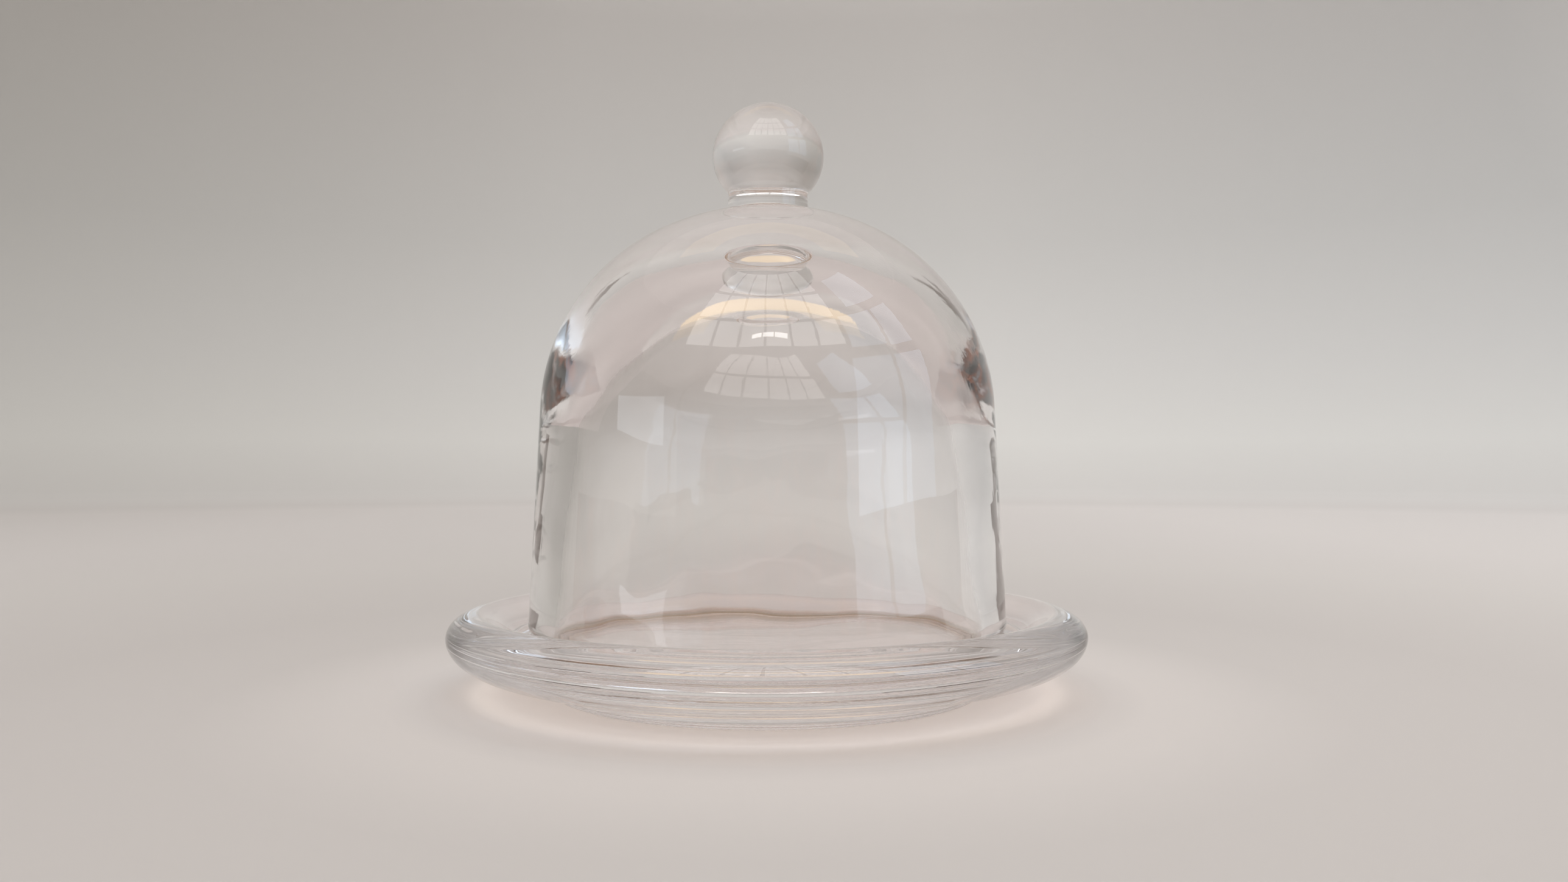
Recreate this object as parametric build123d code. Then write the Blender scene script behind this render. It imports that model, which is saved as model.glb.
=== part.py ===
"""Small glass bell jar: a ball-topped glass cover that stands in the shallow well of a glass plate.

Units are millimetres. The origin is the centre of the plate's underside, +Z is up and is the axis
of every piece. Each piece is a solid of revolution: its half section is drawn as (radius, height)
and turned once about Z. One STEP file per piece goes to parts/.
"""
from build123d import *
import os
from math import acos, atan2, cos, pi, radians, sin, sqrt, tan

# ---- plate: heavy round plate with a raised, rounded rim around a flat well ----
PLATE_R = 60.0            # widest radius
PLATE_WIDEST_Z = 10.9     # height of the widest circle
RIM_CREST_R = 54.4        # highest circle of the rim
RIM_CREST_Z = 15.0
WELL_FLOOR_Z = 11.0       # flat floor that the cover stands on
WELL_FLOOR_R = 47.0       # where the floor turns up into the rim
RIM_UNDER_R = 49.5        # where the rim's rounded underside meets the foot's sloping side
RIM_UNDER_Z = 4.4
FOOT_SIDE_R = 41.6        # where the foot's side meets its rounded edge
FOOT_SIDE_Z = 0.9
FOOT_R = 40.4             # flat face that rests on the table
FOOT_LEAN = (1.0, 0.75)   # slope of the foot's side, outwards and up

# ---- cover: heavy bell with a domed crown, its wall thin at the foot and thick at the crown ----
BELL_FOOT_R = 45.4        # outer face: radius at the foot
BELL_FLARE = radians(2.8)  # lean of the wall, outwards towards the foot
SHOULDER_R = 40.0         # curve from the wall to the crown
CROWN_R = 47.9            # curve of the crown
CROWN_TOP_Z = 91.8        # height on the axis
INSIDE_FOOT_R = 40.5      # inner face: the same five dimensions
INSIDE_FLARE = radians(6.7)
INSIDE_SHOULDER_R = 32.0
INSIDE_CROWN_R = 52.0
INSIDE_TOP_Z = 76.2
FOOT_EDGE_OUT = 1.6       # rounded edges of the foot
FOOT_EDGE_IN = 1.2

# ---- knob: solid ball on a short neck, fused to the crown ----
BALL_R = 10.85            # widest radius of the ball
BALL_SIDE_R = 9.65        # curve of the ball's side, tighter than its slightly flattened top
BALL_RISE = 10.3          # top of the ball above its centre
BALL_CENTRE_Z = 102.2
NECK_R = 7.7              # straight neck below the ball
NECK_ROOT_R = 7.9         # where the neck meets the crown
NECK_BLEND = 1.6          # hollow curve between the ball and the neck

OUTWARD = (1.0, 0.0)
INWARD = (-1.0, 0.0)
RING_NEAR = 0.01          # how near an edge lies to the height it is looked for at


def on_circle(centre, radius, angle):
    """Point of a circle in the section, with the angle in radians up from the outward direction."""
    return centre[0] + radius * cos(angle), centre[1] + radius * sin(angle)


def bell_outline(foot_r, flare, shoulder_r, crown_r, top_z):
    """Foot point, top point and the lines of one face of the bell: leaning wall, shoulder and crown.

    The shoulder's centre lies shoulder_r inside the wall's line and crown_r - shoulder_r from the
    crown's centre, so its curve is tangent to both.
    """
    lean = tan(flare)
    crown_centre = (0.0, top_z - crown_r)
    reach = foot_r + WELL_FLOOR_Z * lean - shoulder_r / cos(flare)
    a = 1.0 + lean**2
    b = -2.0 * (reach * lean + crown_centre[1])
    c = reach**2 + crown_centre[1] ** 2 - (crown_r - shoulder_r) ** 2
    z = (-b + sqrt(b**2 - 4.0 * a * c)) / (2.0 * a)
    centre = (reach - lean * z, z)
    meet = atan2(z - crown_centre[1], centre[0])

    foot = (foot_r, WELL_FLOOR_Z)
    wall_top = on_circle(centre, shoulder_r, flare)
    shoulder_mid = on_circle(centre, shoulder_r, (flare + meet) / 2.0)
    crown_edge = on_circle(crown_centre, crown_r, meet)
    crown_mid = on_circle(crown_centre, crown_r, (meet + pi / 2.0) / 2.0)
    top = (0.0, top_z)
    lines = [
        Line(foot, wall_top),
        ThreePointArc(wall_top, shoulder_mid, crown_edge),
        ThreePointArc(crown_edge, crown_mid, top),
    ]
    return foot, top, lines


def turned(lines):
    """Solid made by turning a closed half section about Z."""
    section = Plane.XZ * make_face(Curve() + lines)
    return revolve(section, Axis.Z, 360.0)


def rings_at(solid, height):
    """Circular edges of a solid at a height, smallest first."""
    circles = solid.edges().filter_by(GeomType.CIRCLE)
    rings = circles.filter_by_position(Axis.Z, height - RING_NEAR, height + RING_NEAR)
    return rings.sort_by(SortBy.RADIUS)


def dome_shell():
    """Bell, solid at the crown and open at the bottom, with rounded edges at its foot."""
    outer_foot, outer_top, outer = bell_outline(
        BELL_FOOT_R, BELL_FLARE, SHOULDER_R, CROWN_R, CROWN_TOP_Z
    )
    inner_foot, inner_top, inner = bell_outline(
        INSIDE_FOOT_R, INSIDE_FLARE, INSIDE_SHOULDER_R, INSIDE_CROWN_R, INSIDE_TOP_Z
    )
    shell = turned([*outer, Line(outer_top, inner_top), *inner, Line(inner_foot, outer_foot)])
    shell = fillet(rings_at(shell, WELL_FLOOR_Z)[-1], FOOT_EDGE_OUT)
    return fillet(rings_at(shell, WELL_FLOOR_Z)[0], FOOT_EDGE_IN)


def crown_height(radius):
    """Height of the bell's outer face near the axis."""
    return CROWN_TOP_Z - CROWN_R + sqrt(CROWN_R**2 - radius**2)


def ball_outline():
    """Foot point on the neck, top point and the lines between them: a side curve run into a flatter top."""
    side_centre = (BALL_R - BALL_SIDE_R, BALL_CENTRE_Z)
    spare = BALL_RISE - BALL_SIDE_R
    drop = (side_centre[0] ** 2 - spare**2) / (2.0 * spare)
    top_centre = (0.0, BALL_CENTRE_Z - drop)
    meet = atan2(drop, side_centre[0])
    neck_angle = -acos((NECK_R - side_centre[0]) / BALL_SIDE_R)

    foot = on_circle(side_centre, BALL_SIDE_R, neck_angle)
    lower_mid = on_circle(side_centre, BALL_SIDE_R, neck_angle / 2.0)
    equator = (BALL_R, BALL_CENTRE_Z)
    upper_mid = on_circle(side_centre, BALL_SIDE_R, meet / 2.0)
    upper_end = on_circle(side_centre, BALL_SIDE_R, meet)
    top_mid = on_circle(top_centre, BALL_RISE + drop, (meet + pi / 2.0) / 2.0)
    top = (0.0, BALL_CENTRE_Z + BALL_RISE)
    lines = [
        ThreePointArc(foot, lower_mid, equator),
        ThreePointArc(equator, upper_mid, upper_end),
        ThreePointArc(upper_end, top_mid, top),
    ]
    return foot, top, lines


def ball_knob():
    """Ball and neck in one solid, hollowed below to sit on the crown."""
    ball_foot, ball_top, ball = ball_outline()
    root = (NECK_ROOT_R, crown_height(NECK_ROOT_R))
    under_mid = (NECK_ROOT_R / 2.0, crown_height(NECK_ROOT_R / 2.0))
    under_top = (0.0, CROWN_TOP_Z)
    knob = turned([
        *ball,
        Line(ball_top, under_top),
        ThreePointArc(under_top, under_mid, root),
        Line(root, ball_foot),
    ])
    return fillet(rings_at(knob, ball_foot[1]), NECK_BLEND)


def base_plate():
    """Plate: flat foot, rounded rim, and a flat well floor for the cover."""
    rim_under = (RIM_UNDER_R, RIM_UNDER_Z)
    crest = (RIM_CREST_R, RIM_CREST_Z)
    floor_edge = (WELL_FLOOR_R, WELL_FLOOR_Z)
    foot_side = (FOOT_SIDE_R, FOOT_SIDE_Z)
    foot_edge = Spline((FOOT_R, 0.0), foot_side, tangents=(OUTWARD, FOOT_LEAN))
    foot_flank = Spline(foot_side, rim_under, tangents=(FOOT_LEAN, OUTWARD))
    under = EllipticalCenterArc(
        (RIM_UNDER_R, PLATE_WIDEST_Z), PLATE_R - RIM_UNDER_R, PLATE_WIDEST_Z - RIM_UNDER_Z, 270.0
    )
    outside = EllipticalCenterArc(
        (RIM_CREST_R, PLATE_WIDEST_Z), PLATE_R - RIM_CREST_R, RIM_CREST_Z - PLATE_WIDEST_Z
    )
    return turned([
        Line((0.0, 0.0), (FOOT_R, 0.0)),
        foot_edge,
        foot_flank,
        under,
        outside,
        Spline(crest, floor_edge, tangents=(INWARD, INWARD)),
        Line(floor_edge, (0.0, WELL_FLOOR_Z)),
        Line((0.0, WELL_FLOOR_Z), (0.0, 0.0)),
    ])


PIECES = {"base_plate": base_plate, "dome_shell": dome_shell, "ball_knob": ball_knob}

os.makedirs("parts", exist_ok=True)
for name, make in PIECES.items():
    piece = make()
    export_step(piece, f"parts/{name}.step")
    print(name, "volume", round(piece.volume), "mm3")
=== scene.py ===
"""Looks of the glass bell jar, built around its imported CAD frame.

Metres, +Z up, with the plate's foot at z = 0. The cover and the plate are turned meshes that follow the
CAD outlines. The room that the glass reflects is made of cards, which the camera doesn't see.
"""
import math

import bpy
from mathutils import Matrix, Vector, noise


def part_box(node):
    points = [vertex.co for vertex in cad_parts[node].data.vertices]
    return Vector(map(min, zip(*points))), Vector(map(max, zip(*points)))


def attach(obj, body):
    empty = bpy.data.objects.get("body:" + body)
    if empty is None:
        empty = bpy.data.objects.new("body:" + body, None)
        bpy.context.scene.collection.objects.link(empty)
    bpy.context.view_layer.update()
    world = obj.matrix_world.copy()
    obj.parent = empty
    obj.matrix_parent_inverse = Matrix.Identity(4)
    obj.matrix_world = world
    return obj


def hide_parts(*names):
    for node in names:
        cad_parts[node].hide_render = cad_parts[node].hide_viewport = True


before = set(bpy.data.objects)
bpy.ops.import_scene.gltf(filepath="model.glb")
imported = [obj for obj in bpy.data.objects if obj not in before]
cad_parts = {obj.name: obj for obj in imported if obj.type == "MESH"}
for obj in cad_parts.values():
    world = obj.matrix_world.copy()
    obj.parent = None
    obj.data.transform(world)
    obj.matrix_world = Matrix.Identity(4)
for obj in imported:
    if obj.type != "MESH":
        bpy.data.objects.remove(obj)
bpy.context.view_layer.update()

MM = 0.001
BELL_LOW, BELL_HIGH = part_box("dome_shell")
KNOB_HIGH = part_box("ball_knob")[1]
PLATE_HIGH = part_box("base_plate")[1]

AROUND = 384              # steps of a turned mesh around its axis
CLEAR = 0.05 * MM         # gap between faces that touch, so that no two glass faces coincide

# ---- cover, in the section (radius, height) ----
CROWN_TOP = BELL_HIGH[2]
FOOT_Z = BELL_LOW[2]
BALL_R = KNOB_HIGH[0]
BALL_TOP = KNOB_HIGH[2]
OUTER_FACE = dict(foot_r=45.4 * MM, flare=2.8, shoulder_r=40.0 * MM, crown_r=47.9 * MM, top=CROWN_TOP)
INNER_FACE = dict(foot_r=40.5 * MM, flare=6.7, shoulder_r=32.0 * MM, crown_r=52.0 * MM, top=76.2 * MM)
FOOT_EDGE_OUT = 1.6 * MM
FOOT_EDGE_IN = 1.2 * MM
BALL_SIDE_R = 9.65 * MM
BALL_RISE = 10.3 * MM
NECK_R = 7.7 * MM
NECK_ROOT_R = 7.9 * MM
NECK_BLEND = 1.6 * MM
NECK_BEND_OUT = 0.05 * MM  # the bend that the hollow curve is drawn towards lies this far off the neck
NECK_BEND_DROP = 0.45 * NECK_BLEND
NECK_WAIST_DROP = 0.9 * NECK_BLEND
CROWN_GAP = 0.4 * MM      # the crown's first point lies this far outside the neck's root
SAME_POINT = 0.001 * MM   # points nearer than this are one

# ---- plate ----
PLATE_R = PLATE_HIGH[0]
WIDEST_Z = 10.9 * MM
CREST = (54.4 * MM, PLATE_HIGH[2])
WELL_Z = BELL_LOW[2]
WELL_R = 47.0 * MM
RIM_UNDER = (49.5 * MM, 4.4 * MM)
FOOT_SIDE = (41.6 * MM, 0.9 * MM)
FOOT_R = 40.4 * MM
FOOT_LEAN = 0.75          # slope of the foot's side where it starts

# ---- unevenness of the glass: (height of the lumps, size of the lumps, seed), the first two in mm ----
INNER_LUMPS = ((0.20, 30.0, 3.1), (0.14, 13.0, 8.8), (0.035, 6.0, 5.7))
OUTER_LUMPS = ((0.14, 34.0, 1.9), (0.022, 8.0, 7.9))
KNOB_LUMPS = ((0.05, 9.0, 9.3),)
PLATE_LUMPS = ((0.14, 26.0, 4.4), (0.012, 7.0, 6.2))
COVER_TRUE_BELOW = 0.5 * MM    # the cover's foot stays true up to this height above the well
COVER_LUMPS_GROW = 6.0 * MM    # stretch over which the lumps grow to their full height
CROWN_FROM_Z = 55.0 * MM       # above this the lumps point more and more upwards
CROWN_UPWARDS = 0.6
RIM_FROM_R = 46.0 * MM         # the plate's well stays true up to here
RIM_LUMPS_GROW = 5.0 * MM
FOOT_LUMPS_GROW = 3.0 * MM
RIM_UPWARDS = 0.6
RIM_INSET = 0.1 * MM           # keeps the uneven rim inside the CAD's box

# ---- glass ----
GLASS_IOR = 1.51
BOUNCES = 32                   # light runs round inside the thick wall many times
CLOUD_SCALE = 26.0             # noise scales are per metre
SMEAR_SCALE = 90.0
SMEAR_FROM = 0.58              # noise above this is a smear
SMEAR_ROUGHNESS = 0.02
WAVE_SCALE = 140.0
BUMP_DISTANCE = 1.0 * MM
FOOT_BROWN = (0.50, 0.33, 0.20)
FOOT_BROWN_SPAN = 8.0 * MM     # height over which the foot's brown tint is measured out
WHITE = (1.0, 1.0, 1.0)
EVEN = (1.0, 1.0, 1.0)         # object coordinates taken as they are

# ---- stage, in metres and degrees ----
EYE = Vector((0.0, 0.0, 55.0 * MM))   # middle of the cover, from which the room's directions are given
TABLE_R = 1.0                  # radius of the flat table, from which the backdrop bends up
BACKDROP_BEND = 0.8
BACKDROP_TOP = 2.2
SWEEP_AROUND = 96              # steps of the sweep around its axis
DARK_FAR = 0.34                # how far off the dark room's cards stand
DARK_NEAR = 0.165              # where the dark strip on the table starts
DARK_STRIP_Z = 0.5 * MM
DARK_STRIP_STEPS = 24
DARK_LOW = -9.2                # elevation of the dark cards' lower edges, down at the table
WALLS_FAR = 1.3                # how far off the windows and the dark edges stand
GLAZING_FAR = 1.4
BLUSH_FAR = 1.15
BEAM_FAR = 1.1
PANE_STEPS = 6
CEILING_HALF = 1.75            # half the width of the ceiling
CEILING_Z = 2.1
ROOF_Z = 1.3
ROOF_PANEL = (0.078, 0.07)     # width and depth of one overhead panel
ROOF_STEP = 0.085
ROOF_FIRST = -1.25             # left side of the first panel, in steps
SPOT_SCALE = 15.0
DIM_PATCH = 0.8                # brightness of a glow's dimmer patches

# Cards as (name, left, right, low, high): azimuths from straight behind to the right, and elevations
DARK_ROOM = (
    ("dark_right", 85.0, 140.0, DARK_LOW, -1.0),
    ("dark_middle", 140.0, 220.0, DARK_LOW, 6.0),
    ("dark_left", 220.0, 275.0, DARK_LOW, -1.0),
)
DARK_EDGES = (
    ("dark_edge_left_0", -9.0, -23.0, 5.0, 10.0),
    ("dark_edge_left_1", -14.0, -29.0, 0.5, 5.0),
    ("dark_edge_right_0", 9.0, 23.0, 5.0, 10.0),
    ("dark_edge_right_1", 14.0, 29.0, 0.5, 5.0),
)
WINDOW = (
    ("sky_0", 96.0, 113.0, -2.0, 26.0),
    ("sky_1", 115.0, 138.0, -2.0, 26.0),
    ("sky_2", 98.0, 112.0, 30.0, 47.0),
    ("sky_3", 114.0, 136.0, 31.0, 47.0),
    ("sky_4", 100.0, 126.0, 51.0, 66.0),
)
SMALL_WINDOW = ("small_window", -131.0, -105.0, 5.2, 8.8)
BLUSH = ("blush", -75.0, 75.0, 16.0, 50.0)
WARM_BEAM = ("warm_beam", -62.0, 62.0, 60.0, 71.0)
GLAZING_FROM = (138.5, 33.0)   # azimuth and elevation where the first pane of the front glazing starts
GLAZING_STEP = 14.5
GLAZING_PANE = 13.0

# ---- camera ----
CAMERA_PLACE = (0.0, -224.5 * MM, 41.7 * MM)
CAMERA_PITCH = 91.29           # degrees up from straight down
CAMERA_TURN = -0.79            # degrees, to the right
CAMERA_LENS = 26.55            # for a sensor 36 mm wide


# ---------------------------------------------------------------- outlines
def arc(centre, rx, rz, start, end, steps):
    """Points of an elliptical arc in (radius, height), angles in degrees up from outwards."""
    points = []
    for i in range(steps + 1):
        a = math.radians(start + (end - start) * i / steps)
        points.append((centre[0] + rx * math.cos(a), centre[1] + rz * math.sin(a)))
    return points


def straight(start, end, steps):
    """Points along a straight line."""
    (r0, z0), (r1, z1) = start, end
    return [(r0 + (r1 - r0) * i / steps, z0 + (z1 - z0) * i / steps) for i in range(steps + 1)]


def eased(start, end, slope, steps):
    """Curve between two points, with a given slope at its start and level at its end."""
    points = []
    run, rise = end[0] - start[0], end[1] - start[1]
    for i in range(steps + 1):
        t = i / steps
        height = rise * t * t * (3.0 - 2.0 * t) + slope * run * t * (1.0 - t) ** 2
        points.append((start[0] + run * t, start[1] + height))
    return points


def joined(*stretches):
    """One outline out of stretches that meet end to end."""
    outline = []
    for stretch in stretches:
        for point in stretch:
            if not outline or math.dist(point, outline[-1]) > SAME_POINT:
                outline.append(point)
    return outline


def bell_face(foot_r, flare, shoulder_r, crown_r, top, lift):
    """One face of the bell, from lift above its foot up to the axis: wall, shoulder and crown."""
    lean = math.tan(math.radians(flare))
    side = math.cos(math.radians(flare))
    crown_z = top - crown_r
    reach = foot_r + FOOT_Z * lean - shoulder_r / side
    a = 1.0 + lean**2
    b = -2.0 * (reach * lean + crown_z)
    c = reach**2 + crown_z**2 - (crown_r - shoulder_r) ** 2
    z = (-b + math.sqrt(b**2 - 4.0 * a * c)) / (2.0 * a)
    centre = (reach - lean * z, z)
    meet = math.degrees(math.atan2(z - crown_z, centre[0]))
    wall_top = (
        centre[0] + shoulder_r * side,
        centre[1] + shoulder_r * math.sin(math.radians(flare)),
    )
    foot = (foot_r - lean * lift, FOOT_Z + lift)
    return joined(
        straight(foot, wall_top, 44),
        arc(centre, shoulder_r, shoulder_r, flare, meet, 44),
        arc((0.0, crown_z), crown_r, crown_r, meet, 90.0, 34),
    )


def ball_side():
    """Ball from its top down to the neck: a flatter top run into a tighter side."""
    side_x = BALL_R - BALL_SIDE_R
    spare = BALL_RISE - BALL_SIDE_R
    drop = (side_x**2 - spare**2) / (2.0 * spare)
    centre_z = BALL_TOP - BALL_RISE
    meet = math.degrees(math.atan2(drop, side_x))
    tall = BALL_RISE + drop
    neck = -math.degrees(math.acos((NECK_R + 0.5 * NECK_BLEND - side_x) / BALL_SIDE_R))
    return joined(
        arc((0.0, centre_z - drop), tall, tall, 90.0, meet, 20),
        arc((side_x, centre_z), BALL_SIDE_R, BALL_SIDE_R, meet, neck, 44),
    )


def neck_side(start, root):
    """Hollow curve below the ball, then the straight neck down to the crown."""
    waist = (NECK_R, start[1] - NECK_WAIST_DROP)
    bend = (NECK_R + NECK_BEND_OUT, start[1] - NECK_BEND_DROP)
    hollow = []
    for i in range(9):
        t = i / 8
        weights = ((1.0 - t) ** 2, 2.0 * t * (1.0 - t), t * t)
        r = weights[0] * start[0] + weights[1] * bend[0] + weights[2] * waist[0]
        z = weights[0] * start[1] + weights[1] * bend[1] + weights[2] * waist[1]
        hollow.append((r, z))
    return joined(hollow, straight(waist, root, 8))


# ---------------------------------------------------------------- meshes
def ripple(point, size, seed):
    """Smooth waviness, from -1 to 1, whose lumps are about size across."""
    return noise.noise(point / size + Vector((seed, 2.3 * seed, -1.7 * seed)))


def lumps(point, sizes):
    """How far the glass stands out at a point, in millimetres."""
    return sum(height * ripple(point, size * MM, seed) for height, size, seed in sizes)


def share(value):
    """Value held between nothing and one."""
    return min(1.0, max(0.0, value))


def turned(name, outline, warp):
    """Closed mesh: an outline from axis to axis, turned about Z, with each point placed by warp."""
    rings = outline[1:-1]
    verts = [warp(0, 0.0, 0.0, outline[0][1])]
    for i, (radius, height) in enumerate(rings):
        for k in range(AROUND):
            verts.append(warp(i + 1, radius, 2.0 * math.pi * k / AROUND, height))
    verts.append(warp(len(outline) - 1, 0.0, 0.0, outline[-1][1]))
    last = len(verts) - 1
    faces = []
    for k in range(AROUND):
        n = (k + 1) % AROUND
        faces.append((0, 1 + k, 1 + n))
        for j in range(len(rings) - 1):
            a, b = 1 + j * AROUND, 1 + (j + 1) * AROUND
            faces.append((a + k, b + k, b + n, a + n))
        a = 1 + (len(rings) - 1) * AROUND
        faces.append((a + k, last, a + n))
    mesh = bpy.data.meshes.new(name)
    mesh.from_pydata(verts, [], faces)
    mesh.update()
    mesh.polygons.foreach_set("use_smooth", [True] * len(mesh.polygons))
    piece = bpy.data.objects.new(name, mesh)
    bpy.context.scene.collection.objects.link(piece)
    return piece


def cover():
    """Bell and ball knob as one piece of glass, slightly uneven as hand-made glass is."""
    outer = bell_face(**OUTER_FACE, lift=FOOT_EDGE_OUT)
    inner = bell_face(**INNER_FACE, lift=FOOT_EDGE_IN)
    out_r, in_r = outer[0][0], inner[0][0]
    floor = FOOT_Z + CLEAR
    foot = joined(
        arc((out_r - FOOT_EDGE_OUT, outer[0][1]), FOOT_EDGE_OUT, outer[0][1] - floor, 0.0, -90.0, 10),
        straight((out_r - FOOT_EDGE_OUT, floor), (in_r + FOOT_EDGE_IN, floor), 6),
        arc((in_r + FOOT_EDGE_IN, inner[0][1]), FOOT_EDGE_IN, inner[0][1] - floor, -90.0, -180.0, 8),
    )
    crown = [p for p in reversed(outer) if p[0] > NECK_ROOT_R + CROWN_GAP]
    ball = ball_side()
    crown_z = CROWN_TOP - OUTER_FACE["crown_r"]
    root = (NECK_ROOT_R, crown_z + math.sqrt(OUTER_FACE["crown_r"] ** 2 - NECK_ROOT_R**2))
    outside = joined(ball, neck_side(ball[-1], root), crown, foot)
    outline = joined(outside, inner)
    turn = len(outside)

    def warp(i, radius, angle, height):
        p = Vector((radius * math.cos(angle), radius * math.sin(angle), height))
        if i >= turn:
            push = lumps(p, INNER_LUMPS)
        elif height > CROWN_TOP:
            push = lumps(p, KNOB_LUMPS)
        else:
            push = lumps(p, OUTER_LUMPS)
        push *= share((height - FOOT_Z - COVER_TRUE_BELOW) / COVER_LUMPS_GROW) * MM
        out = Vector((p.x, p.y, CROWN_UPWARDS * max(0.0, height - CROWN_FROM_Z)))
        if out.length > 0.0:
            p += out.normalized() * push
        return p

    piece = turned("glass_cover", outline, warp)
    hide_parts("dome_shell", "ball_knob")
    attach(piece, "cover")
    return piece


def plate():
    """Heavy plate: flat foot, rounded rim and shallow well."""
    outline = joined(
        straight((0.0, WELL_Z), (WELL_R, WELL_Z), 34),
        eased((WELL_R, WELL_Z), CREST, 0.0, 26),
        arc((CREST[0], WIDEST_Z), PLATE_R - CREST[0], CREST[1] - WIDEST_Z, 90.0, 0.0, 26),
        arc((RIM_UNDER[0], WIDEST_Z), PLATE_R - RIM_UNDER[0], WIDEST_Z - RIM_UNDER[1], 0.0, -90.0, 34),
        list(reversed(eased(FOOT_SIDE, RIM_UNDER, FOOT_LEAN, 18))),
        arc((FOOT_R, FOOT_SIDE[1]), FOOT_SIDE[0] - FOOT_R, FOOT_SIDE[1], 0.0, -90.0, 6),
        straight((FOOT_R, 0.0), (0.0, 0.0), 24),
    )

    def warp(_, radius, angle, height):
        p = Vector((radius * math.cos(angle), radius * math.sin(angle), height))
        rim = share((radius - RIM_FROM_R) / RIM_LUMPS_GROW)
        push = lumps(p, PLATE_LUMPS) * rim * share(height / FOOT_LUMPS_GROW) * MM - RIM_INSET * rim
        return p + Vector((math.cos(angle), math.sin(angle), RIM_UPWARDS)) * push

    piece = turned("glass_plate", outline, warp)
    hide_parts("base_plate")
    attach(piece, "base")
    return piece


# ---------------------------------------------------------------- materials
class Nodes:
    """A material's node tree, with short ways to add what the glass needs."""

    def __init__(self, name):
        self.material = bpy.data.materials.new(name)
        self.material.use_nodes = True
        self.tree = self.material.node_tree
        self.shader = self.tree.nodes["Principled BSDF"]

    def node(self, kind, **values):
        """New node of a kind, with some of its settings."""
        made = self.tree.nodes.new(kind)
        for key, value in values.items():
            setattr(made, key, value)
        return made

    def link(self, source, target):
        """Leads an output into an input."""
        self.tree.links.new(source, target)

    def noise(self, vector, scale, detail):
        """Soft noise, from nothing to one."""
        made = self.node("ShaderNodeTexNoise")
        made.inputs["Scale"].default_value = scale
        made.inputs["Detail"].default_value = detail
        self.link(vector, made.inputs["Vector"])
        return made.outputs["Fac"]

    def maths(self, operation, first, second):
        """Result of an operation on two values, each a number or an output."""
        made = self.node("ShaderNodeMath", operation=operation)
        for i, value in enumerate((first, second)):
            if isinstance(value, (int, float)):
                made.inputs[i].default_value = value
            else:
                self.link(value, made.inputs[i])
        return made.outputs[0]

    def ramp(self, factor, low, high, first, second):
        """Colour that goes from first to second while the factor goes from low to high."""
        made = self.node("ShaderNodeValToRGB")
        made.color_ramp.elements[0].position = low
        made.color_ramp.elements[1].position = high
        made.color_ramp.elements[0].color = (*first, 1.0)
        made.color_ramp.elements[1].color = (*second, 1.0)
        self.link(factor, made.inputs["Fac"])
        return made.outputs["Color"]

    def stops(self, factor, colours):
        """Colour ramp through any number of (position, colour) stops."""
        made = self.node("ShaderNodeValToRGB")
        elements = made.color_ramp.elements
        while len(elements) < len(colours):
            elements.new(0.5)
        for element, (position, colour) in zip(elements, colours):
            element.position = position
            element.color = (*colour, 1.0)
        self.link(factor, made.inputs["Fac"])
        return made.outputs["Color"]

    def multiply(self, first, second):
        """Product of two colours."""
        made = self.node("ShaderNodeVectorMath", operation="MULTIPLY")
        self.link(first, made.inputs[0])
        self.link(second, made.inputs[1])
        return made.outputs["Vector"]

    def scaled(self, scale):
        """Object coordinates, each scaled."""
        place = self.node("ShaderNodeTexCoord")
        made = self.node("ShaderNodeMapping")
        made.inputs["Scale"].default_value = scale
        self.link(place.outputs["Object"], made.inputs["Vector"])
        return made.outputs["Vector"]

    def round_the_axis(self, along, up):
        """Coordinates in which a pattern runs round the axis.

        Distance from the axis and height are scaled by up, and the place round the axis by along.
        """
        place = self.node("ShaderNodeTexCoord")
        flat = self.node("ShaderNodeVectorMath", operation="MULTIPLY")
        flat.inputs[1].default_value = (1.0, 1.0, 0.0)
        self.link(place.outputs["Object"], flat.inputs[0])
        radius = self.node("ShaderNodeVectorMath", operation="LENGTH")
        self.link(flat.outputs["Vector"], radius.inputs[0])
        turn = self.node("ShaderNodeVectorMath", operation="NORMALIZE")
        self.link(flat.outputs["Vector"], turn.inputs[0])
        split = self.node("ShaderNodeSeparateXYZ")
        self.link(place.outputs["Object"], split.inputs[0])
        rise = self.node("ShaderNodeCombineXYZ")
        self.link(self.maths("MULTIPLY", radius.outputs["Value"], up), rise.inputs["X"])
        self.link(self.maths("MULTIPLY", split.outputs["Z"], up), rise.inputs["Y"])
        around = self.node("ShaderNodeVectorMath", operation="SCALE")
        around.inputs["Scale"].default_value = along
        self.link(turn.outputs["Vector"], around.inputs[0])
        total = self.node("ShaderNodeVectorMath", operation="ADD")
        self.link(rise.outputs["Vector"], total.inputs[0])
        self.link(around.outputs["Vector"], total.inputs[1])
        return total.outputs["Vector"]

    def bump(self, height, distance, strength, under=None):
        """Normal bent by a height, on top of another bump where one is given."""
        made = self.node("ShaderNodeBump")
        made.inputs["Distance"].default_value = distance
        made.inputs["Strength"].default_value = strength
        self.link(height, made.inputs["Height"])
        if under is not None:
            self.link(under, made.inputs["Normal"])
        return made.outputs["Normal"]


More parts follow.
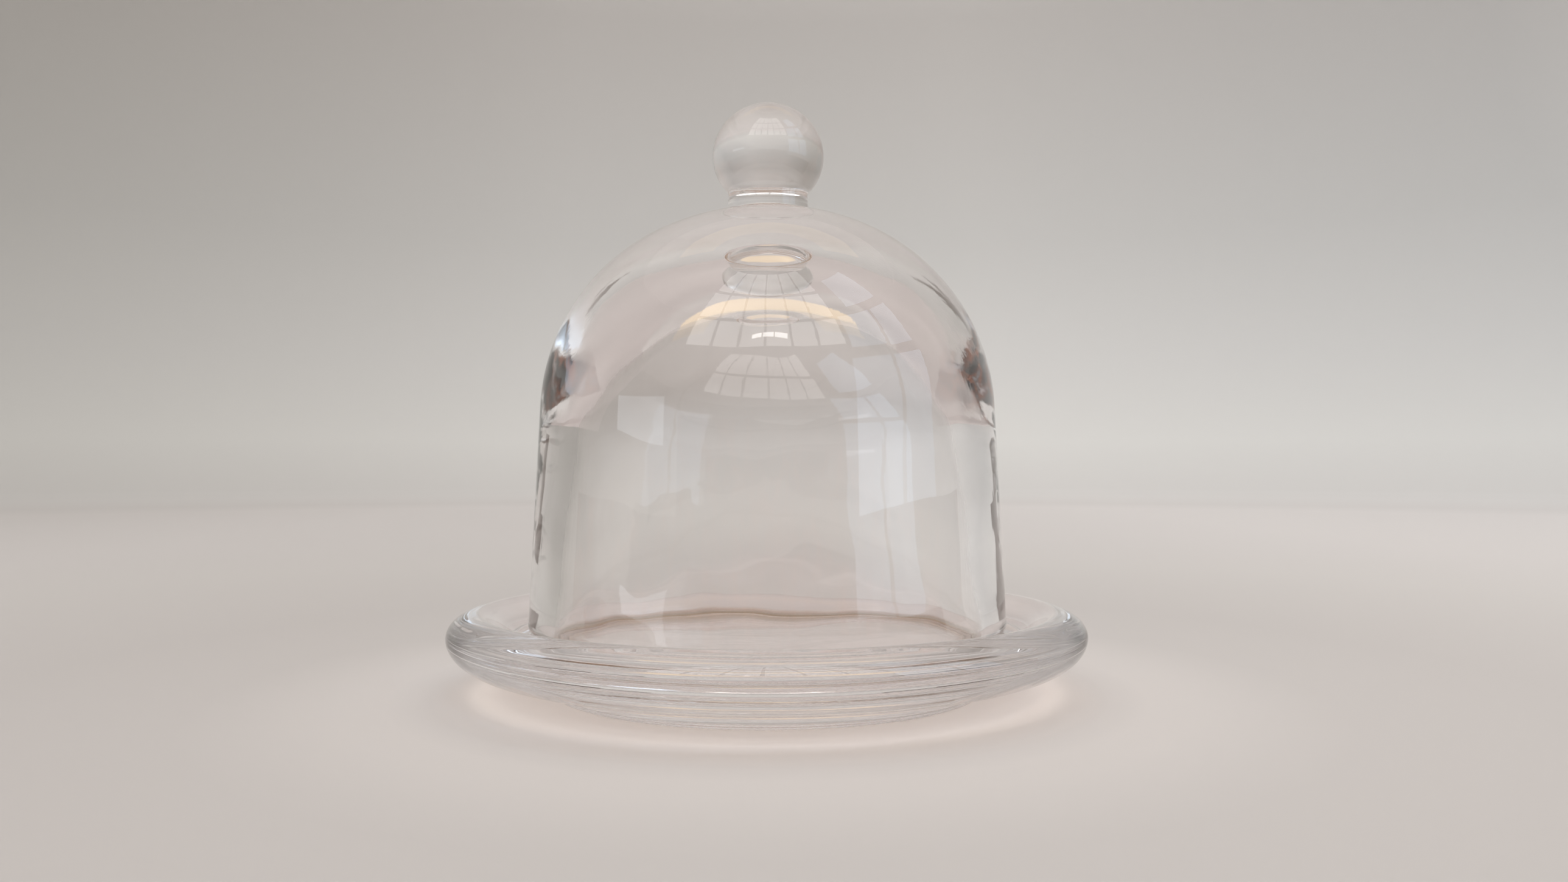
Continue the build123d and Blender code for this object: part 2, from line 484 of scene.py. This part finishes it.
def glass(name, pale, deep, streaks, streak_depth, wave_depth, foot=None):
    """Clear glass, faintly tinted, with long drawn streaks and soft waves in its surface.

    The tint drifts between pale and deep. Foot, if given, is the tint of the lowest stretch.
    """
    n = Nodes(name)
    cloud = n.noise(n.scaled(EVEN), CLOUD_SCALE, detail=2.0)
    tint = n.ramp(cloud, 0.35, 0.65, pale, deep)
    if foot is not None:
        tint = n.multiply(tint, foot_tint(n, cloud, foot))
    n.link(tint, n.shader.inputs["Base Color"])
    n.shader.inputs["IOR"].default_value = GLASS_IOR
    n.shader.inputs["Transmission Weight"].default_value = 1.0
    smears = n.noise(n.scaled((1.0, 1.0, 0.5)), SMEAR_SCALE, detail=3.0)
    dull = n.maths("MAXIMUM", n.maths("SUBTRACT", smears, SMEAR_FROM), 0.0)
    n.link(n.maths("MULTIPLY", dull, SMEAR_ROUGHNESS), n.shader.inputs["Roughness"])
    drawn = n.bump(n.noise(streaks(n), 1.0, detail=3.0), BUMP_DISTANCE, streak_depth)
    waving = n.noise(n.scaled(EVEN), WAVE_SCALE, detail=1.0)
    waves = n.bump(waving, BUMP_DISTANCE, wave_depth, under=drawn)
    n.link(waves, n.shader.inputs["Normal"])
    return n.material


def foot_tint(n, cloud, colour):
    """Tint of the cover's lowest stretch, with an uneven upper limit."""
    rise = n.node("ShaderNodeSeparateXYZ")
    n.link(n.scaled(EVEN), rise.inputs[0])
    height = n.maths("SUBTRACT", rise.outputs["Z"], FOOT_Z)
    high = n.maths("MULTIPLY", height, 1.0 / FOOT_BROWN_SPAN)
    uneven = n.maths("ADD", high, n.maths("MULTIPLY", cloud, 0.10))
    return n.stops(uneven, ((0.10, colour), (0.26, WHITE)))


def upright_streaks(n):
    """Streaks drawn up the bell's wall."""
    return n.round_the_axis(along=34.0, up=18.0)


def ring_streaks(n):
    """Streaks drawn round the plate."""
    return n.round_the_axis(along=1.6, up=260.0)


# ---------------------------------------------------------------- stage
def shown_in_glass_only(obj):
    """Lets a card be reflected in the glass and refracted by it, without being in the picture itself."""
    obj.visible_camera = False
    obj.visible_diffuse = False
    obj.visible_shadow = False
    obj.visible_volume_scatter = False


def flat_mesh(name, verts, faces, material):
    """Object made of corners and faces, in one material."""
    mesh = bpy.data.meshes.new(name)
    mesh.from_pydata(verts, [], faces)
    mesh.materials.append(material)
    obj = bpy.data.objects.new(name, mesh)
    bpy.context.scene.collection.objects.link(obj)
    return obj


THROUGH = "through"        # a card that shows in the glass however its light gets there
TURNED = "turned"          # one that shows only where the glass turns light back, at any depth
NEAR_SIDE = "near side"    # the same, but not by way of the cover's far wall
ONE_TURN = "one turn"      # one that shows only after one reflection inside the glass
OUTSIDE = "outside"        # one that shows only in the glass's outer face
TURNS_OUTSIDE = 1.0        # how often light has changed course when it reaches each kind of card
TURNS_ONE_TURN = 3.0
TURNS_FAR_WALL = 5.0


def show(n, light, where):
    """Shows a card to light that has met the glass in one way, so that it isn't seen through it.

    Light that crosses the glass changes course an even number of times, and one reflection more
    makes it odd.
    """
    surface = n.tree.nodes["Material Output"].inputs["Surface"]
    if where == THROUGH:
        n.link(light.outputs["Emission"], surface)
        return
    turns = n.node("ShaderNodeLightPath").outputs["Ray Depth"]
    if where == ONE_TURN:
        seen = n.maths("COMPARE", turns, TURNS_ONE_TURN)
    elif where == OUTSIDE:
        seen = n.maths("COMPARE", turns, TURNS_OUTSIDE)
    else:
        seen = n.maths("MODULO", turns, 2.0)
    if where == NEAR_SIDE:
        seen = n.maths("SUBTRACT", seen, n.maths("COMPARE", turns, TURNS_FAR_WALL))
    mix = n.node("ShaderNodeMixShader")
    n.link(seen, mix.inputs["Fac"])
    n.link(n.node("ShaderNodeBsdfTransparent").outputs["BSDF"], mix.inputs[1])
    n.link(light.outputs["Emission"], mix.inputs[2])
    n.link(mix.outputs["Shader"], surface)


def glow(name, colour, strength, grain, where):
    """Light given off evenly, or in soft patches where grain is above nothing."""
    n = Nodes(name)
    n.tree.nodes.remove(n.shader)
    light = n.node("ShaderNodeEmission")
    light.inputs["Color"].default_value = (*colour, 1.0)
    light.inputs["Strength"].default_value = strength
    if grain:
        patches = n.noise(n.scaled(EVEN), grain, detail=2.0)
        dim = [DIM_PATCH * c for c in colour]
        n.link(n.ramp(patches, 0.3, 0.7, dim, colour), light.inputs["Color"])
    show(n, light, where)
    return n.material


def towards(azimuth, elevation, distance):
    """Place seen from the cover: azimuth from straight behind to the right, both in degrees."""
    a, e = math.radians(azimuth), math.radians(elevation)
    direction = Vector((math.sin(a) * math.cos(e), math.cos(a) * math.cos(e), math.sin(e)))
    return EYE + distance * direction


def pane(name, left, right, low, high, distance, material):
    """One curved card between two azimuths and two elevations."""
    verts, faces = [], []
    row = PANE_STEPS + 1
    for i in range(row):
        for j in range(row):
            a = left + (right - left) * i / PANE_STEPS
            verts.append(towards(a, low + (high - low) * j / PANE_STEPS, distance))
    for i in range(PANE_STEPS):
        for j in range(PANE_STEPS):
            k = i * row + j
            faces.append((k, k + 1, k + row + 1, k + row))
    shown_in_glass_only(flat_mesh(name, verts, faces, material))


def level_card(name, left, right, front, back, height, material):
    """One level card overhead."""
    corners = [(left, front, height), (right, front, height), (right, back, height), (left, back, height)]
    shown_in_glass_only(flat_mesh(name, corners, [(0, 1, 2, 3)], material))


def sweep():
    """Seamless pale table and backdrop, turned all round."""
    line = [(0.0, 0.0), (0.15, 0.0), (0.3, 0.0), (0.6, 0.0)]
    line += arc((TABLE_R, BACKDROP_BEND), BACKDROP_BEND, BACKDROP_BEND, -90.0, 0.0, 18)
    line.append((TABLE_R + BACKDROP_BEND, BACKDROP_TOP))
    verts, faces = [], []
    for radius, z in line:
        for k in range(SWEEP_AROUND):
            a = 2.0 * math.pi * k / SWEEP_AROUND
            verts.append((radius * math.cos(a), radius * math.sin(a), z - CLEAR))
    for j in range(len(line) - 1):
        low, high = j * SWEEP_AROUND, (j + 1) * SWEEP_AROUND
        for k in range(SWEEP_AROUND):
            n = (k + 1) % SWEEP_AROUND
            faces.append((low + k, low + n, high + n, high + k))
    obj = flat_mesh("sweep", verts, faces, sweep_paint())
    obj.data.polygons.foreach_set("use_smooth", [True] * len(faces))


def sweep_paint():
    """Pale paint with painted light and shade: painted shade to the left and higher up, and round the
    plate a painted soft shadow, a painted bright caustic ring and painted light farther out.
    """
    n = Nodes("sweep")
    place = n.scaled(EVEN)
    split = n.node("ShaderNodeSeparateXYZ")
    n.link(place, split.inputs[0])
    radius = n.node("ShaderNodeVectorMath", operation="LENGTH")
    n.link(place, radius.inputs[0])
    side = n.maths("ADD", n.maths("MULTIPLY", split.outputs["X"], 0.3), 0.5)
    # Painted light and shade from side to side: darker to the left, brighter to the right.
    across = n.stops(side, (
        (0.0, (0.69, 0.68, 0.66)), (0.17, (0.69, 0.68, 0.66)), (0.40, (0.93, 0.925, 0.92)),
        (0.60, WHITE), (0.82, (0.87, 0.88, 0.89)), (1.0, (1.15, 1.15, 1.15)),
    ))
    # Painted shade with height: darker on the table, brightest low on the backdrop, darker higher up and
    # a little lighter again at the top.
    up = n.stops(n.maths("MULTIPLY", split.outputs["Z"], 0.8), (
        (0.0, (0.665, 0.625, 0.600)), (0.01, (0.80, 0.78, 0.76)), (0.06, (0.87, 0.86, 0.835)),
        (0.16, (0.81, 0.80, 0.785)), (0.33, (0.72, 0.71, 0.695)), (0.66, (0.655, 0.63, 0.61)),
        (0.78, (0.72, 0.69, 0.67)), (1.0, (0.76, 0.73, 0.71)),
    ))
    # Painted light and shade round the plate, by distance from its middle: lighter under it, a painted
    # bright caustic ring under its rim, a painted soft shadow outside it, and painted light farther out
    # on the table.
    near = n.stops(n.maths("MULTIPLY", radius.outputs["Value"], 0.5), (
        (0.0, (1.04, 1.03, 1.02)), (0.023, (1.06, 1.05, 1.04)), (0.0262, (1.10, 1.10, 1.09)),
        (0.030, (0.94, 0.94, 0.94)), (0.036, (1.02, 1.02, 1.02)), (0.05, (0.91, 0.91, 0.91)),
        (0.075, (0.89, 0.89, 0.89)), (0.15, (0.98, 0.99, 0.99)), (0.225, (1.04, 1.05, 1.06)),
        (0.50, (1.24, 1.26, 1.28)), (0.58, WHITE),
    ))
    n.link(n.multiply(n.multiply(across, up), near), n.shader.inputs["Base Color"])
    n.shader.inputs["Roughness"].default_value = 0.8
    n.shader.inputs["Specular IOR Level"].default_value = 0.2
    return n.material


def mottled():
    """Dark brown patches, near black and rust, with a few pale ones."""
    n = Nodes("dark_front")
    n.tree.nodes.remove(n.shader)
    spots = n.noise(n.scaled(EVEN), SPOT_SCALE, detail=5.0)
    ramp = n.stops(spots, (
        (0.42, (0.003, 0.002, 0.002)), (0.48, (0.03, 0.015, 0.012)), (0.53, (0.26, 0.07, 0.02)),
        (0.57, (0.03, 0.02, 0.02)), (0.68, (0.42, 0.38, 0.38)),
    ))
    light = n.node("ShaderNodeEmission")
    n.link(ramp, light.inputs["Color"])
    show(n, light, TURNED)
    return n.material


def dark_front():
    """Dark room beyond the front edge of the table, as the cover's thick wall picks it up."""
    dark = mottled()
    for card in DARK_ROOM:
        pane(*card, DARK_FAR, dark)
    verts, faces = [], []
    start, end = DARK_ROOM[0][1], DARK_ROOM[-1][2]
    for i in range(DARK_STRIP_STEPS + 1):
        a = math.radians(start + (end - start) * i / DARK_STRIP_STEPS)
        for radius in (DARK_NEAR, DARK_FAR):
            verts.append((radius * math.sin(a), radius * math.cos(a), DARK_STRIP_Z))
    for i in range(DARK_STRIP_STEPS):
        faces.append((2 * i, 2 * i + 1, 2 * i + 3, 2 * i + 2))
    shown_in_glass_only(flat_mesh("dark_low", verts, faces, dark))
    brown = glow("brown", (0.060, 0.030, 0.018), 1.0, grain=6.0, where=ONE_TURN)
    for card in DARK_EDGES:
        pane(*card, WALLS_FAR, brown)


def windows():
    """Tall window to the front right, and a small one far off to the left."""
    sky = glow("sky", (0.72, 0.85, 1.0), 2.3, grain=3.0, where=NEAR_SIDE)
    for card in WINDOW:
        pane(*card, WALLS_FAR, sky)
    far = glow("far_window", (0.90, 0.95, 1.0), 2.6, grain=3.0, where=NEAR_SIDE)
    pane(*SMALL_WINDOW, WALLS_FAR, far)


def glazing():
    """Rows of hazy panes high up in front."""
    haze = glow("haze", (1.0, 0.97, 0.94), 3.2, grain=2.0, where=OUTSIDE)
    high_haze = glow("high_haze", (1.0, 0.97, 0.94), 2.8, grain=2.0, where=NEAR_SIDE)
    for i in range(6):
        left = GLAZING_FROM[0] + GLAZING_STEP * i
        for j in range(3):
            low = GLAZING_FROM[1] + GLAZING_STEP * j
            edges = (left, left + GLAZING_PANE, low, low + GLAZING_PANE)
            pane(f"haze_{i}_{j}", *edges, GLAZING_FAR, high_haze if j else haze)


def roof_panels():
    """Bright panels straight overhead, which show in the crown."""
    roof = glow("roof", (1.0, 0.99, 0.96), 6.0, grain=0.0, where=ONE_TURN)
    wide, deep = ROOF_PANEL
    for i in range(3):
        x = (i + ROOF_FIRST) * ROOF_STEP
        level_card(f"roof_{i}", x, x + wide, -deep, 0.0, ROOF_Z, roof)


def room():
    """Glazed room around the table, as the glass reflects it."""
    blush = glow("blush", (0.62, 0.545, 0.515), 1.0, grain=2.5, where=ONE_TURN)
    pane(*BLUSH, BLUSH_FAR, blush)
    ceiling = glow("ceiling", (0.66, 0.60, 0.565), 1.0, grain=1.5, where=THROUGH)
    half = CEILING_HALF
    level_card("ceiling", -half, half, -half, half, CEILING_Z, ceiling)
    windows()
    glazing()
    roof_panels()
    warm = glow("warm", (1.0, 0.82, 0.62), 0.95, grain=2.0, where=THROUGH)
    pane(*WARM_BEAM, BEAM_FAR, warm)


def area_light(name, place, size, energy, colour):
    """Rectangular light that faces the cover, and isn't seen in the glass itself."""
    light = bpy.data.lights.new(name, "AREA")
    light.shape = "RECTANGLE"
    light.size, light.size_y = size
    light.energy = energy
    light.color = colour
    obj = bpy.data.objects.new(name, light)
    obj.location = place
    obj.rotation_euler = (EYE - Vector(place)).to_track_quat("-Z", "Y").to_euler()
    obj.visible_glossy = False
    obj.visible_transmission = False
    bpy.context.scene.collection.objects.link(obj)


def lights():
    """Even pale surroundings, a broad overhead light and window light from the right."""
    world = bpy.data.worlds.new("studio")
    bpy.context.scene.world = world
    world.use_nodes = True
    background = world.node_tree.nodes["Background"]
    background.inputs["Color"].default_value = (1.0, 0.995, 0.985, 1.0)
    background.inputs["Strength"].default_value = 0.74
    area_light("overhead", (0.2, -0.2, 1.7), (1.4, 1.2), 12.0, (1.0, 0.99, 0.98))
    area_light("window", (1.3, -0.5, 0.7), (1.0, 0.8), 5.0, (0.92, 0.96, 1.0))


def camera():
    """Low view from close in front, turned a little to the right."""
    cam = bpy.data.cameras.new("camera")
    cam.sensor_width = 36.0
    cam.lens = CAMERA_LENS
    cam.clip_start = 0.01
    obj = bpy.data.objects.new("camera", cam)
    bpy.context.scene.collection.objects.link(obj)
    obj.location = CAMERA_PLACE
    obj.rotation_euler = (math.radians(CAMERA_PITCH), 0.0, math.radians(CAMERA_TURN))
    bpy.context.scene.camera = obj


cover_glass = glass(
    "cover_glass", pale=(0.995, 0.985, 0.982), deep=(0.985, 0.965, 0.960),
    streaks=upright_streaks, streak_depth=0.004, wave_depth=0.006, foot=FOOT_BROWN,
)
plate_glass = glass(
    "plate_glass", pale=(0.980, 0.960, 0.962), deep=(0.962, 0.930, 0.934),
    streaks=ring_streaks, streak_depth=0.008, wave_depth=0.005,
)
for piece, material in ((cover(), cover_glass), (plate(), plate_glass)):
    piece.data.materials.append(material)
    piece.visible_shadow = False    # light reaches the table through clear glass
sweep()
dark_front()
room()
lights()
camera()

bpy.context.scene.view_settings.view_transform = "Standard"
cycles = bpy.context.scene.cycles
cycles.blur_glossy = 0.0            # keeps the lines in the glass crisp
cycles.max_bounces = BOUNCES
cycles.glossy_bounces = BOUNCES
cycles.transmission_bounces = BOUNCES
